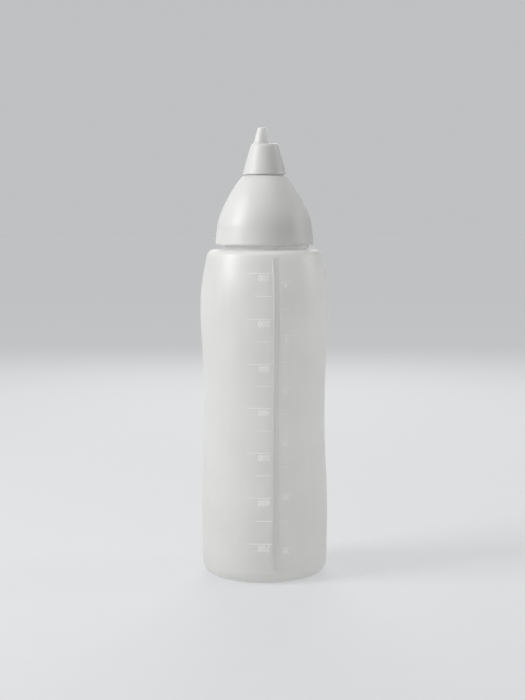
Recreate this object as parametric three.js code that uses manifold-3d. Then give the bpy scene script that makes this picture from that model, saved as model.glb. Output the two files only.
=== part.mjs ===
// Condiment squeeze bottle: a soft bottle with a waist, a screwed dome lid with a slit valve in its
// spout, and a flip cap with a lifting tab.
// Millimetres, +Z up. The origin is the centre of the foot, on the surface that the bottle stands on.
// The front of the bottle faces -Y.

import * as THREE from "three";
import { mergeVertices } from "three/addons/utils/BufferGeometryUtils.js";
import Module from "manifold-3d";

const wasm = await Module();
wasm.setup();

// Bottle
const shoulderHeight = 190.2; // foot to the flat shoulder
const chestRadius = 37.64; // widest place, in the upper half
const heelShare = 0.972; // radius just above the base corner, as a share of the chest radius
const baseCornerRadius = 7;
const footRingWidth = 3; // flat ring it stands on, inside the base corner
const pushUpHeight = 4; // hollow under the base
const shoulderRounding = 4.4;
const shoulderLean = 19; // degrees that the side leans in where the shoulder begins
const bodyWall = 1;
const baseWall = 1.4;
const neckRadius = 24.4;
const neckHeight = 15.8;
const neckWall = 1.6;
const neckRimRounding = 0.4;

// The side between base corner and shoulder: [share of the shoulder height, share of the chest radius]
const sideShares = [
  [0.184, 0.985],
  [0.342, 0.958],
  [0.51, 0.939],
  [0.657, 0.96],
  [0.815, 1],
  [0.894, 0.977],
  [0.946, 0.93],
];

// Lid
const rimGap = 2.8; // shoulder to the lower rim of the lid
const threadRoom = 2.85; // between neck and lid at the rim, where their threads mesh
const lidWall = 1.3;
const lidRimRounding = 1;
const domeHeight = 25.3; // from the shelf over the seal to the deck under the cap
const deckMargin = 1.55; // from the collar to where dome and deck would meet if sharp
const deckEdgeRun = 1.5;
const deckEdgeDrop = 1.8;
const deckEdgeFlat = 0.7;

const skirtBendHeightShare = 0.566; // of the height from rim to shelf
const skirtBendRadiusShare = 0.974; // of the lid radius

// The dome from shelf to deck edge: [share of the dome height, share of the lid radius]
const domeShares = [
  [0.0725, 0.917],
  [0.439, 0.774],
  [0.806, 0.579],
];

// Shelf in the lid that presses the seal onto the neck
const shelfReach = 0.5; // how far the shelf passes inside the neck's bore
const shelfEdge = 1;
const shelfSlopeHeight = 5.6;

// Seal ring
const sealThickness = 1.1;
const sealInset = 0.2; // past the neck's bore

// Spout collar on the deck, which holds the valve
const collarRadius = 11.05;
const collarHeight = 5;
const collarTaper = 0.95;
const collarRounding = 0.5;
const collarWall = 1.3; // at the top of the collar
const lipThickness = 1.1;
const lipReach = 2; // inwards over the valve's flange
const lipChamfer = 0.4;
const snapDepth = 0.4;

// Valve
const flangeThickness = 1.3;
const sleeveInset = 0.6; // from the edge of the lip
const sleeveLength = 3.2; // below the flange
const sleeveWall = 0.8;
const headThickness = 0.8;
const headDish = 1.1; // how far the middle of the head lies below its edge
const headFlatShare = 0.6; // how far out the flat middle of the head reaches
const slitShare = 0.65; // length of a slit as a share of the head's width
const slitWidth = 0.2;

// Ring that holds the valve in the collar
const retainerHeight = 1.8;
const retainerRoom = 0.7; // round the valve's sleeve
const retainerChamfer = 0.4;

// Flip cap
const capGap = 0.8; // deck to the lower rim of the cap
const capRoom = 0.35; // round the foot of the collar
const capHeight = 17.7;
const capTaper = 4.3; // the cone's loss of radius
const capTopRounding = 1.9;
const capWall = 1.15;
const capRimHeight = 0.5;
const postInset = 1.8; // from the inside of the valve's sleeve
const postDraft = 0.4;
const postWall = 0.9;

// Lifting tab on the cap
const tabHeight = 9.1;
const tabRadius = 4;
const tabOffset = 3.6; // from the middle of the cap, away from the hinge

// Rings of the tab: [share of its height, share of its offset, share of its radius]
const tabShares = [
  [-0.1, 0.74, 1.24],
  [0.02, 0.76, 1.21],
  [0.077, 0.9, 1.09],
  [0.143, 0.99, 1],
  [0.33, 0.99, 0.885],
  [0.516, 0.96, 0.8],
  [0.714, 0.88, 0.725],
  [0.9, 0.77, 0.64],
  [0.967, 0.74, 0.57],
  [1, 0.73, 0.44],
];

// Hinge: two leaves that fold face to face, with the bending line at their outer ends
const hingeReach = 1.85; // from the cap's rim to the bending line
const hingeTurnDegrees = 56; // from +X towards the back
const leafRootWidth = 8.4;
const leafTipWidth = 7;
const leafThickness = 1.1;
const leafOverlap = 0.8; // how far a leaf runs into what carries it
const leafGap = 0.3;

// Clearances
const seatGap = 0.2; // between faces that seat on each other
const sideGap = 0.2; // between a piece and the bore that it sits in
const valvePressGap = 0.3; // between the cap's post and the valve head
const cutOverrun = 1;

// Facets
const bottleSegments = 48;
const lidSegments = 48;
const capSegments = 40;
const ringSegments = 36;
const tabSegments = 20;
const curveSteps = 4; // in a wide curve
const cornerSteps = 3;
const edgeSteps = 2; // in a small rounding
const spanSteps = 2; // between two points of a flowing side

// Heights and radii that several pieces share
const footRadius = chestRadius * heelShare - baseCornerRadius;
const neckTop = shoulderHeight + neckHeight;
const neckBore = neckRadius - neckWall;
const lidRimZ = shoulderHeight + rimGap;
const lidRadius = neckRadius + threadRoom + lidWall;
const shelfZ = neckTop + sealThickness + 2 * seatGap;
const shelfRadius = neckBore - shelfReach;
const deckZ = shelfZ + domeHeight;
const deckRadius = collarRadius + deckMargin;
const collarTopRadius = collarRadius - collarTaper;
const collarTopZ = deckZ + collarHeight;
const boreRadius = collarTopRadius - collarWall;
const apertureRadius = boreRadius - lipReach;
const sleeveRadius = apertureRadius - sleeveInset;
const lipUnderZ = collarTopZ - lipThickness;
const flangeTopZ = lipUnderZ - seatGap;
const flangeUnderZ = flangeTopZ - flangeThickness;
const flangeRadius = boreRadius - sideGap;
const headEdgeZ = flangeUnderZ - sleeveLength + headThickness + headDish;
const retainerTopZ = flangeUnderZ - seatGap;
const retainerMiddleZ = retainerTopZ - retainerHeight / 2;
const capRadius = collarRadius + capRoom + capWall;
const capConeTopRadius = capRadius - capTaper;
const capRimZ = deckZ + capGap;
const capTopZ = capRimZ + capHeight;
const capCeilingZ = capTopZ - capWall;
const postRadius = sleeveRadius - sleeveWall - postInset;
const hingeRadius = capRadius + hingeReach;
const hingeZ = deckZ + capGap / 2;

function at(radius, z) {
  return new THREE.Vector2(radius, z);
}

function arc(centreRadius, centreZ, radius, fromDegrees, toDegrees, steps) {
  return Array.from({ length: steps + 1 }, (unused, step) => {
    const degrees = fromDegrees + ((toDegrees - fromDegrees) * step) / steps;
    const angle = THREE.MathUtils.degToRad(degrees);
    return at(centreRadius + radius * Math.cos(angle), centreZ + radius * Math.sin(angle));
  });
}

// A smooth curve through the points, with the same number of steps between any two of them
function spline(points, stepsEach) {
  return new THREE.SplineCurve(points).getPoints(stepsEach * (points.length - 1));
}

function bend(from, through, to, steps) {
  return new THREE.QuadraticBezierCurve(from, through, to).getPoints(steps);
}

// The same outline moved inwards by a wall, square to itself
function inwards(outline, wall) {
  return outline.map((point, index) => {
    const before = outline[Math.max(index - 1, 0)];
    const after = outline[Math.min(index + 1, outline.length - 1)];
    const along = after.clone().sub(before).normalize();
    return at(point.x - along.y * wall, point.y + along.x * wall);
  });
}

// The radius of a rising outline at a height
function radiusAt(outline, z) {
  const index = outline.findIndex((point) => point.y >= z);
  const above = outline[index];
  const below = outline[index - 1];
  return THREE.MathUtils.mapLinear(z, below.y, above.y, below.x, above.x);
}

// A solid of revolution. The outline keeps its material on the left as it runs.
function revolve(outline, segments) {
  return new THREE.LatheGeometry(outline, segments).rotateX(Math.PI / 2);
}

// A stack of circles joined into a closed body
function loft(circles, segments) {
  const positions = [];
  const faces = [];
  const add = (x, y, z) => positions.push(x, y, z) / 3 - 1;
  const rows = circles.map(({ x, z, radius }) =>
    Array.from({ length: segments }, (unused, step) => {
      const angle = (2 * Math.PI * step) / segments;
      return add(x + radius * Math.cos(angle), radius * Math.sin(angle), z);
    }),
  );
  const lowest = circles[0];
  const highest = circles[circles.length - 1];
  const bottom = add(lowest.x, 0, lowest.z);
  const top = add(highest.x, 0, highest.z);
  for (let step = 0; step < segments; step += 1) {
    const next = (step + 1) % segments;
    faces.push(bottom, rows[0][next], rows[0][step]);
    faces.push(top, rows[rows.length - 1][step], rows[rows.length - 1][next]);
    for (let row = 0; row + 1 < rows.length; row += 1) {
      faces.push(rows[row][step], rows[row][next], rows[row + 1][next]);
      faces.push(rows[row][step], rows[row + 1][next], rows[row + 1][step]);
    }
  }
  const geometry = new THREE.BufferGeometry();
  geometry.setAttribute("position", new THREE.Float32BufferAttribute(positions, 3));
  geometry.setIndex(faces);
  return geometry;
}

// Geometry to solid, with shared corners merged and the collapsed faces on an axis left out
function solidOf(geometry) {
  const bare = geometry.clone();
  bare.deleteAttribute("normal");
  bare.deleteAttribute("uv");
  const merged = mergeVertices(bare);
  const faces = [];
  for (let corner = 0; corner < merged.index.count; corner += 3) {
    const [a, b, c] = [0, 1, 2].map((step) => merged.index.getX(corner + step));
    if (a !== b && b !== c && c !== a) {
      faces.push(a, b, c);
    }
  }
  return new wasm.Manifold(
    new wasm.Mesh({
      numProp: 3,
      vertProperties: new Float32Array(merged.attributes.position.array),
      triVerts: new Uint32Array(faces),
    }),
  );
}

function geometryOf(solid) {
  const { numProp, vertProperties, triVerts } = solid.getMesh();
  const positions = [];
  for (let start = 0; start < vertProperties.length; start += numProp) {
    positions.push(...vertProperties.slice(start, start + 3));
  }
  const geometry = new THREE.BufferGeometry();
  geometry.setAttribute("position", new THREE.Float32BufferAttribute(positions, 3));
  geometry.setIndex(Array.from(triVerts));
  return geometry;
}

function piece(name, solid, color, roughness) {
  const geometry = geometryOf(solid);
  geometry.computeVertexNormals();
  const material = new THREE.MeshStandardMaterial({ color, roughness, metalness: 0 });
  const mesh = new THREE.Mesh(geometry, material);
  mesh.name = name;
  return mesh;
}

// Bottle: foot ring, base corner, waisted side, rounded shoulder and plain neck

function bodyOutline() {
  const corner = arc(footRadius, baseCornerRadius, baseCornerRadius, -90, 0, curveSteps);
  const shoulder = arc(
    radiusOfShoulderCentre(),
    shoulderHeight - shoulderRounding,
    shoulderRounding,
    shoulderLean,
    90,
    curveSteps,
  );
  const side = sideShares.map(([heightShare, radiusShare]) =>
    at(chestRadius * radiusShare, shoulderHeight * heightShare),
  );
  const flowing = spline([corner[corner.length - 1], ...side, shoulder[0]], spanSteps);
  return [...corner, ...flowing.slice(1, -1), ...shoulder, at(neckRadius, shoulderHeight)];
}

// The shoulder's rounding starts where the side, running on at its lean, reaches it
function radiusOfShoulderCentre() {
  const [lastHeightShare, lastRadiusShare] = sideShares[sideShares.length - 1];
  const lean = THREE.MathUtils.degToRad(shoulderLean);
  const startZ = shoulderHeight - shoulderRounding * (1 - Math.sin(lean));
  const run = (startZ - shoulderHeight * lastHeightShare) * Math.tan(lean);
  return chestRadius * lastRadiusShare - run - shoulderRounding * Math.cos(lean);
}

function makeBottle() {
  const body = bodyOutline();
  const inside = inwards(body, bodyWall).reverse();
  const hollowRadius = footRadius - footRingWidth;
  const hollow = bend(
    at(0, pushUpHeight),
    at(hollowRadius / 2, pushUpHeight),
    at(hollowRadius, 0),
    curveSteps,
  );
  const floor = hollow.map((point) => at(point.x, point.y + baseWall)).reverse();
  const edgeZ = neckTop - neckRimRounding;
  const neck = [
    ...arc(neckRadius - neckRimRounding, edgeZ, neckRimRounding, 0, 90, edgeSteps),
    ...arc(neckBore + neckRimRounding, edgeZ, neckRimRounding, 90, 180, edgeSteps),
    at(neckBore, shoulderHeight - bodyWall),
  ];
  const outline = [...hollow, ...body, ...neck, ...inside, ...floor];
  return piece("bottle", solidOf(revolve(outline, bottleSegments)), 0xe4e6e1, 0.42);
}

// Lid: a thin dome that screws over the neck, with the spout collar on its deck

function domeOutline() {
  const centre = lidRadius - lidRimRounding;
  const rim = arc(centre, lidRimZ + lidRimRounding, lidRimRounding, -90, 0, cornerSteps);
  const skirtBend = at(
    lidRadius * skirtBendRadiusShare,
    lidRimZ + (shelfZ - lidRimZ) * skirtBendHeightShare,
  );
  const dome = domeShares.map(([heightShare, radiusShare]) =>
    at(lidRadius * radiusShare, shelfZ + domeHeight * heightShare),
  );
  const edge = bend(
    at(deckRadius + deckEdgeRun, deckZ - deckEdgeDrop),
    at(deckRadius, deckZ),
    at(deckRadius - deckEdgeFlat, deckZ),
    cornerSteps,
  );
  const flowing = spline([rim[rim.length - 1], skirtBend, ...dome, edge[0]], spanSteps);
  return [...rim, ...flowing.slice(1, -1), ...edge];
}

function domeInside(wall) {
  const slopeTopZ = shelfZ + shelfEdge + shelfSlopeHeight;
  const falling = [...wall].reverse();
  const above = falling.filter((point) => point.y > slopeTopZ && point.y < deckZ - lidWall);
  const below = falling.filter((point) => point.y > lidRimZ + lidRimRounding && point.y < shelfZ);
  return [
    ...above,
    at(radiusAt(wall, slopeTopZ), slopeTopZ),
    at(shelfRadius, shelfZ + shelfEdge),
    at(shelfRadius, shelfZ),
    at(radiusAt(wall, shelfZ), shelfZ),
    ...below,
    at(below[below.length - 1].x, lidRimZ),
  ];
}

function spoutOutline() {
  const grooveRadius = boreRadius + snapDepth;
  const edgeRadius = collarTopRadius - collarRounding;
  return [
    at(collarRadius, deckZ),
    ...arc(edgeRadius, collarTopZ - collarRounding, collarRounding, 0, 90, edgeSteps),
    at(apertureRadius + lipChamfer, collarTopZ),
    at(apertureRadius, collarTopZ - lipChamfer),
    at(apertureRadius, lipUnderZ),
    at(boreRadius, lipUnderZ),
    at(boreRadius, retainerMiddleZ + snapDepth),
    at(grooveRadius, retainerMiddleZ),
    at(boreRadius, retainerMiddleZ - snapDepth),
    at(boreRadius, deckZ - lidWall),
    at(deckRadius - deckEdgeFlat, deckZ - lidWall),
  ];
}

// A leaf of the hinge, flat and slightly tapered in plan, from its carrier to the bending line
function makeLeaf(rootRadius, underZ) {
  const tipRadius = hingeRadius - leafGap / 2;
  const plan = new THREE.Shape([
    at(rootRadius, -leafRootWidth / 2),
    at(tipRadius, -leafTipWidth / 2),
    at(tipRadius, leafTipWidth / 2),
    at(rootRadius, leafRootWidth / 2),
  ]);
  const leaf = new THREE.ExtrudeGeometry(plan, { depth: leafThickness, bevelEnabled: false });
  return solidOf(leaf.translate(0, 0, underZ));
}

function makeLid(dome) {
  const outline = [...dome, ...spoutOutline(), ...domeInside(inwards(dome, lidWall)), dome[0]];
  const shell = solidOf(revolve(outline, lidSegments));
  const leaf = makeLeaf(deckRadius - leafOverlap, hingeZ - leafGap / 2 - leafThickness);
  return piece("screw_lid", shell.add(leaf), 0xe8eae5, 0.36);
}

// Seal ring: lies on the neck's rim and reaches out to the lid's wall under the shelf

function makeSealRing(dome) {
  const outerRadius = radiusAt(inwards(dome, lidWall), shelfZ) - sideGap;
  const innerRadius = neckBore - sealInset;
  const underZ = neckTop + seatGap;
  const outline = [
    at(innerRadius, underZ),
    at(outerRadius, underZ),
    at(outerRadius, underZ + sealThickness),
    at(innerRadius, underZ + sealThickness),
    at(innerRadius, underZ),
  ];
  return piece("lid_seal_ring", solidOf(revolve(outline, lidSegments)), 0xf2f2ee, 0.6);
}

// Valve: a clamped flange, a thin sleeve and a dished head with two crossed slits

function makeValve() {
  const sleeveFoot = flangeUnderZ - sleeveLength;
  const headRadius = sleeveRadius - sleeveWall;
  const headUnder = bend(
    at(0, sleeveFoot),
    at(headRadius * headFlatShare, sleeveFoot),
    at(headRadius, headEdgeZ - headThickness),
    cornerSteps,
  );
  const headTop = bend(
    at(headRadius - sleeveWall / 2, headEdgeZ),
    at(headRadius * headFlatShare, headEdgeZ - headDish),
    at(0, headEdgeZ - headDish),
    cornerSteps,
  );
  const outline = [
    ...headUnder,
    at(sleeveRadius, headEdgeZ - headThickness / 2),
    at(sleeveRadius, flangeUnderZ),
    at(flangeRadius, flangeUnderZ),
    at(flangeRadius, flangeTopZ),
    at(sleeveRadius - sleeveWall, flangeTopZ),
    ...headTop,
  ];
  const slitHeight = headThickness + headDish + cutOverrun;
  const slit = new THREE.BoxGeometry(2 * headRadius * slitShare, slitWidth, 2 * slitHeight);
  slit.translate(0, 0, sleeveFoot);
  const slits = [slit, slit.clone().rotateZ(Math.PI / 2)].map(solidOf);
  const valve = slits.reduce((rest, cut) => rest.subtract(cut), solidOf(revolve(outline, ringSegments)));
  return piece("anti_drip_valve", valve, 0xdfe6e6, 0.3);
}

// Retaining ring: snaps up into the collar's bore and clamps the valve's flange

function makeRetainer() {
  const outerRadius = boreRadius - sideGap;
  const innerRadius = sleeveRadius + retainerRoom;
  const underZ = retainerTopZ - retainerHeight;
  const outline = [
    at(innerRadius, underZ),
    at(outerRadius - retainerChamfer, underZ),
    at(outerRadius, retainerMiddleZ - snapDepth),
    at(outerRadius + snapDepth, retainerMiddleZ),
    at(outerRadius, retainerMiddleZ + snapDepth),
    at(outerRadius, retainerTopZ),
    at(innerRadius, retainerTopZ),
    at(innerRadius, underZ),
  ];
  return piece("valve_retainer", solidOf(revolve(outline, ringSegments)), 0xe8eae5, 0.4);
}

// Flip cap: a thin cone over the collar, a post that backs the valve, and the lifting tab

function makeCap() {
  const coneTopZ = capTopZ - capTopRounding;
  const cone = [at(capRadius, capRimZ + capRimHeight), at(capConeTopRadius, coneTopZ)];
  const [innerFoot, innerTop] = inwards(cone, capWall);
  const slope = (innerFoot.x - innerTop.x) / (innerTop.y - innerFoot.y);
  const innerRimRadius = innerFoot.x + slope * (innerFoot.y - capRimZ);
  const innerCeilingRadius = innerTop.x - slope * (capCeilingZ - capTopRounding / 2 - innerTop.y);
  const postUnderZ = headEdgeZ + valvePressGap;
  const outline = [
    at(0, capCeilingZ),
    at(postRadius + postDraft / 2 - postWall, capCeilingZ),
    at(postRadius - postWall, postUnderZ),
    at(postRadius, postUnderZ),
    at(postRadius + postDraft, capCeilingZ),
    at(innerCeilingRadius - capTopRounding / 2, capCeilingZ),
    at(innerCeilingRadius, capCeilingZ - capTopRounding / 2),
    at(innerRimRadius, capRimZ),
    at(capRadius, capRimZ),
    cone[0],
    ...bend(
      cone[1],
      at(capConeTopRadius - slope * capTopRounding, capTopZ),
      at(capConeTopRadius - capTopRounding, capTopZ),
      curveSteps,
    ),
    at(0, capTopZ),
  ];
  const tab = loft(
    tabShares.map(([heightShare, offsetShare, radiusShare]) => ({
      x: -tabOffset * offsetShare,
      z: capTopZ + tabHeight * heightShare,
      radius: tabRadius * radiusShare,
    })),
    tabSegments,
  );
  const leaf = makeLeaf(capRadius - leafOverlap, hingeZ + leafGap / 2);
  const cap = solidOf(revolve(outline, capSegments)).add(solidOf(tab)).add(leaf);
  return piece("tip_cap", cap, 0xeaece8, 0.36);
}

const dome = domeOutline();

const top = new THREE.Group();
top.rotation.z = THREE.MathUtils.degToRad(hingeTurnDegrees);
top.add(makeLid(dome), makeValve(), makeRetainer(), makeCap());

const squeezeBottle = new THREE.Group();
squeezeBottle.add(makeBottle(), makeSealRing(dome), top);

export default squeezeBottle;
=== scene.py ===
# %% [markdown]
# # A squeeze bottle with a screwed lid and a flip cap
#
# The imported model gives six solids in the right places, with the joints that move them. This
# lesson dresses them. Each solid gets a finer piece of the same size in its place, and what is
# too small for the solids is added: the screw threads, the mould lines, the graduations and the
# film of the hinge. Then come the plastics, the studio and the camera.

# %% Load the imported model
import math
import bmesh
import bpy
from mathutils import Matrix, Vector


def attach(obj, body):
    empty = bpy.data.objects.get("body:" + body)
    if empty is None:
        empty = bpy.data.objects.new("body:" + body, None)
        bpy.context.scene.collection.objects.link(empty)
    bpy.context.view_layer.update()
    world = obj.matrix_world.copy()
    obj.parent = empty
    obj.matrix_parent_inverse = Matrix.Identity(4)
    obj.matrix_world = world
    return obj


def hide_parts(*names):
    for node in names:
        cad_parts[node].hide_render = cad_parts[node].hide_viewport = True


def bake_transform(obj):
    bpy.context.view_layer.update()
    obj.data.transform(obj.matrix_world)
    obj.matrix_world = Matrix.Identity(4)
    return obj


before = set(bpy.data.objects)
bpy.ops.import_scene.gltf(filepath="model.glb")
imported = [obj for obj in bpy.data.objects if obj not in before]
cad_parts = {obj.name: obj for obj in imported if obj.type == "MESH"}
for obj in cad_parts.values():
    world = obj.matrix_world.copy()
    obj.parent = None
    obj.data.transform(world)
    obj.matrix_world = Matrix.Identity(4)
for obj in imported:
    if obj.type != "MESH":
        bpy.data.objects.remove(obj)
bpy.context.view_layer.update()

print("solids:", sorted(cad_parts))

# %% [markdown]
# ## Units and outlines
#
# Drawings of bottles are read in millimetres, and Blender works in metres. So every outline
# below is a list of (radius, height) points in millimetres, and one helper turns it into metres
# when the mesh is made. Outlines are made of a few kinds of line: a smooth line through measured
# points, a part of a circle, and a bend between two straight runs.

# %% Lines to draw outlines with
MM = 0.001


def at(radius, height):
    return Vector((radius, height))


def smooth_line(points, steps):
    """A curve through the points, with the same number of steps between any two of them."""
    points = [Vector(point) for point in points]
    line = []
    for index in range(len(points) - 1):
        start, end = points[index], points[index + 1]
        before = points[index - 1] if index else start
        after = points[index + 2] if index + 2 < len(points) else end
        for step in range(steps):
            t = step / steps
            leave = (end - before) * 0.5
            arrive = (after - start) * 0.5
            line.append(
                start * (2 * t**3 - 3 * t**2 + 1)
                + leave * (t**3 - 2 * t**2 + t)
                + end * (3 * t**2 - 2 * t**3)
                + arrive * (t**3 - t**2)
            )
    return line + [points[-1]]


def part_circle(centre, radius, start_degrees, end_degrees, steps):
    turn = math.radians(end_degrees - start_degrees)
    angles = [math.radians(start_degrees) + turn * step / steps for step in range(steps + 1)]
    return [centre + radius * at(math.cos(angle), math.sin(angle)) for angle in angles]


def bend(start, through, end, steps):
    shares = [step / steps for step in range(steps + 1)]
    return [start * (1 - t) ** 2 + through * (2 * t * (1 - t)) + end * t**2 for t in shares]


def straight(start, end, steps):
    return [start.lerp(end, step / steps) for step in range(steps + 1)]


def inner_line(line, wall):
    """The same line moved inwards by the wall, square to itself."""
    moved = []
    for index, point in enumerate(line):
        along = line[min(index + 1, len(line) - 1)] - line[max(index - 1, 0)]
        along.normalize()
        moved.append(at(point.x - along.y * wall, point.y + along.x * wall))
    return moved


def radius_at(line, height):
    """The radius of a rising line at a height."""
    for below, above in zip(line, line[1:]):
        if below.y <= height <= above.y and above.y > below.y:
            return below.x + (above.x - below.x) * (height - below.y) / (above.y - below.y)
    return line[0].x if height < line[0].y else line[-1].x


# %% [markdown]
# ## Turned pieces
#
# Bottle, lid, cap, valve and rings are round, so they can be turned, as a potter turns a pot: the
# section of the wall is drawn once, and the spin operator carries it round the axis. A section
# that stops on the axis at both ends, such as the bottle's floor, is left open there. Doubled
# points are welded, and after that the faces are told to look outwards.

# %% Turn a section of wall into a closed mesh
FULL_TURN = 2 * math.pi
WELD = 0.001
CREASE_DEGREES = 32


def turned(section, segments):
    section = [Vector(point) for point in section]
    open_on_axis = section[0].x < WELD and section[-1].x < WELD
    work = bmesh.new()
    corners = [work.verts.new((point.x * MM, 0, point.y * MM)) for point in section]
    pairs = list(zip(corners, corners[1:]))
    if not open_on_axis:
        pairs.append((corners[-1], corners[0]))
    edges = [work.edges.new(pair) for pair in pairs]
    bmesh.ops.spin(
        work, geom=corners + edges, cent=(0, 0, 0), axis=(0, 0, 1),
        angle=FULL_TURN, steps=segments, use_merge=True,
    )
    bmesh.ops.remove_doubles(work, verts=work.verts, dist=WELD * MM)
    bmesh.ops.recalc_face_normals(work, faces=work.faces)
    return work


def turn_about_axis(work, angle):
    """Turns a whole mesh about the bottle's axis."""
    turn = Matrix.Rotation(angle, 3, "Z")
    bmesh.ops.rotate(work, verts=work.verts, cent=(0, 0, 0), matrix=turn)


def open_edges(mesh):
    """How many edges don't have exactly two faces: none in a closed mesh."""
    check = bmesh.new()
    check.from_mesh(mesh)
    count = sum(not edge.is_manifold for edge in check.edges)
    check.free()
    return count


def add_object(name, data):
    thing = bpy.data.objects.new(name, data)
    bpy.context.scene.collection.objects.link(thing)
    return thing


def finished(name, work):
    """Makes an object of the mesh, smooth except where two faces meet at a clear angle."""
    mesh = bpy.data.meshes.new(name)
    work.to_mesh(mesh)
    work.free()
    mesh.shade_smooth()
    mesh.set_sharp_from_angle(angle=math.radians(CREASE_DEGREES))
    mesh.calc_loop_triangles()
    print(f"{name}: {len(mesh.loop_triangles)} triangles, {open_edges(mesh)} open edges")
    return add_object(name, mesh)


# %% [markdown]
# ## The bottle's outline
#
# A bottle of this kind is blown: a soft tube of plastic is closed in a mould and air presses it
# against the walls, so the outside follows the mould and the wall is thin and nearly even. Its
# side has a waist to grip, a wide chest, and a shoulder that turns in over a short radius. The
# heights and radii were measured from the outline in the picture, so they are given as a table,
# and a smooth line is drawn through them.

# %% The outside of the body
FOOT_RADIUS = 29.586
BASE_CORNER = 7
FOOT_RING = 3
PUSH_UP = 4
SHOULDER_TOP = 190.2
SHOULDER_ROUNDING = 4.4
SHOULDER_CENTRE = 29.29
SHOULDER_LEAN = 19
SIDE = [
    (36.87, 20), (37.06, 35), (36.86, 49), (36.36, 61), (35.78, 75), (35.42, 89),
    (35.36, 98), (35.52, 110), (36.1, 125), (36.98, 140), (37.4, 149), (37.5, 155),
    (37.4, 161), (37.2, 165.3), (36.72, 170.2), (36.02, 175), (35.06, 179.8),
]

base_corner = part_circle(at(FOOT_RADIUS, BASE_CORNER), BASE_CORNER, -90, 0, steps=8)
shoulder_turn = part_circle(
    at(SHOULDER_CENTRE, SHOULDER_TOP - SHOULDER_ROUNDING),
    SHOULDER_ROUNDING, SHOULDER_LEAN, 90, steps=9,
)
side = smooth_line([base_corner[-1], *SIDE, shoulder_turn[0]], steps=4)
body_outside = [*base_corner, *side[1:-1], *shoulder_turn]
print("widest radius:", round(max(point.x for point in body_outside), 2), "mm")

# %% [markdown]
# ## The wall of the bottle
#
# The section runs along the hollow under the base, up the outside, over the rim of the neck and
# down the inside. The neck gets a row of points every 0.3 mm, which the screw thread needs. The
# bottle stands on a narrow ring because the middle of the base is pushed up: a flat base would
# bulge and rock.

# %% Section of the bottle
BODY_WALL = 1.0
BASE_WALL = 1.4
NECK_RADIUS = 24.4
NECK_TOP = 206.0
NECK_WALL = 1.6
NECK_RIM_ROUNDING = 0.5
NECK_FOOT_FILLET = 0.6
THREAD_ROW = 0.3
WIDE_SEGMENTS = 144

hollow_radius = FOOT_RADIUS - FOOT_RING
hollow = bend(
    at(0, PUSH_UP), at(hollow_radius / 2, PUSH_UP), at(hollow_radius, 0), steps=14
)
neck_foot = bend(
    at(NECK_RADIUS + NECK_FOOT_FILLET, SHOULDER_TOP),
    at(NECK_RADIUS, SHOULDER_TOP),
    at(NECK_RADIUS, SHOULDER_TOP + NECK_FOOT_FILLET),
    steps=3,
)
rim_height = NECK_TOP - NECK_RIM_ROUNDING
neck_rows = round((rim_height - neck_foot[-1].y) / THREAD_ROW)
neck_side = straight(neck_foot[-1], at(NECK_RADIUS, rim_height), neck_rows)
neck_bore = NECK_RADIUS - NECK_WALL
rim_outer = part_circle(
    at(NECK_RADIUS - NECK_RIM_ROUNDING, rim_height), NECK_RIM_ROUNDING, 0, 90, steps=4
)
rim_inner = part_circle(
    at(neck_bore + NECK_RIM_ROUNDING, rim_height), NECK_RIM_ROUNDING, 90, 180, steps=4
)
body_inside = inner_line(body_outside, BODY_WALL)
body_inside.reverse()
bottle_section = [
    *hollow,
    *body_outside,
    *straight(body_outside[-1], neck_foot[0], 5)[1:-1],
    *neck_foot,
    *neck_side[1:],
    *rim_outer[1:],
    *rim_inner,
    *straight(at(neck_bore, rim_height), at(neck_bore, SHOULDER_TOP - BODY_WALL), 5)[1:],
    *body_inside,
    *[at(point.x, point.y + BASE_WALL) for point in reversed(hollow)],
]
bottle_mesh = turned(bottle_section, WIDE_SEGMENTS)
print("bottle:", len(bottle_section), "points in the section")

# %% [markdown]
# ## Screw threads
#
# The thread on a blown neck is no added coil: the neck's own skin is pressed out into a groove
# of the mould. So the thread is made the same way. Every point of the neck's outside that lies
# near a helix is moved outwards, by an amount that falls off smoothly on both flanks, and less
# at the two ends, where a thread runs out. The lid's thread is the same helix, one and a half
# pitches higher and moved inwards, so it runs between the turns of the neck's thread.

# %% A helix that moves the skin
THREAD_PITCH = 5.0
THREAD_START = math.radians(-96)
THREAD_START_HEIGHT = 191.0
THREAD_TURNS = 2.3
THREAD_RUN_OUT = 0.12
NEAR_SKIN = 0.02


def eased(value):
    """Goes from 0 to 1 with the value, slowly at both ends."""
    value = min(max(value, 0.0), 1.0)
    return value * value * (3 - 2 * value)


def raise_thread(work, skin, depth, start_height, turns, flat, foot):
    """Moves a skin, given by its rising line, by depth along a helix.

    flat is half the width of the thread's crest, and foot is half its width at the skin.
    """
    moved = 0
    for corner in work.verts:
        height = corner.co.z / MM
        radius = math.hypot(corner.co.x, corner.co.y) / MM
        beyond = height < skin[0].y - WELD or height > skin[-1].y + WELD
        if beyond or abs(radius - radius_at(skin, height)) > NEAR_SKIN:
            continue
        angle = math.atan2(corner.co.y, corner.co.x) - THREAD_START
        round_share = (angle / FULL_TURN) % 1
        turn = round((height - start_height) / THREAD_PITCH - round_share) + round_share
        offset = abs(height - start_height - turn * THREAD_PITCH)
        flank = eased((foot - offset) / (foot - flat))
        ends = eased(turn / THREAD_RUN_OUT) * eased((turns - turn) / THREAD_RUN_OUT)
        grown = (radius + depth * flank * ends) / radius
        corner.co.x *= grown
        corner.co.y *= grown
        moved += flank * ends > 0
    return moved


print("points moved for the neck's thread:", raise_thread(
    bottle_mesh,
    skin=neck_side,
    depth=1.65,
    start_height=THREAD_START_HEIGHT,
    turns=THREAD_TURNS,
    flat=0.55,
    foot=1.9,
))
bottle = finished("bottle_shell", bottle_mesh)

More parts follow.
